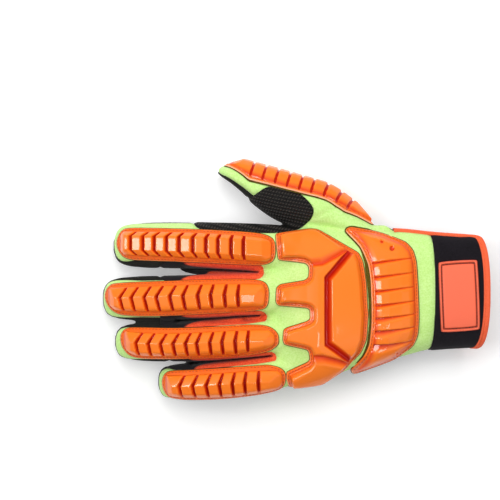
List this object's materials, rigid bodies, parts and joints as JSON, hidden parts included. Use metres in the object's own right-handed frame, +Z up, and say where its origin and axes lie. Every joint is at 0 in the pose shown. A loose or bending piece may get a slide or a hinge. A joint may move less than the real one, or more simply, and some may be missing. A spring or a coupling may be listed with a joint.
{
  "type": "impact work glove",
  "caption": "Left-hand work glove with ribbed rubber guards over the fingers, thumb, knuckles and back of the hand, a mesh thumb gusset, palm grip patches and a neoprene cuff.",
  "frame": {"origin": "on the resting surface, on the underside of the heel patch in the middle of the palm", "axes": "+Z up out of the back of the hand, -X towards the fingertips, +Y towards the thumb"},
  "size_m": [0.2663, 0.1645, 0.0476],
  "materials": {
    "spandex": "stretch knit",
    "suede": "synthetic suede",
    "wrist_grip": "printed synthetic suede",
    "mesh": "ribbed mesh knit",
    "knit": "stretch knit",
    "neoprene": "smooth neoprene",
    "label": "matt moulded rubber",
    "moulded": "satin moulded rubber",
    "grip": "grained synthetic leather"
  },
  "bodies": {
    "root": {"back_panel": "spandex", "palm_panel": "suede", "wrist_panel": "wrist_grip", "thumb_mesh": "mesh", "fourchette_index_middle": "knit", "fourchette_middle_ring": "knit", "fourchette_ring_little": "knit", "cuff": "neoprene", "cuff_binding": "knit", "label_patch": "label", "index_guard": "moulded", "middle_guard": "moulded", "ring_guard": "moulded", "little_guard": "moulded", "thumb_guard": "moulded", "knuckle_guard": "moulded", "wrist_guard": "moulded", "index_tip_patch": "grip", "middle_tip_patch": "grip", "ring_tip_patch": "grip", "little_tip_patch": "grip", "thumb_tip_patch": "grip", "crotch_patch": "grip", "heel_patch": "grip"}
  },
  "joints": []
}
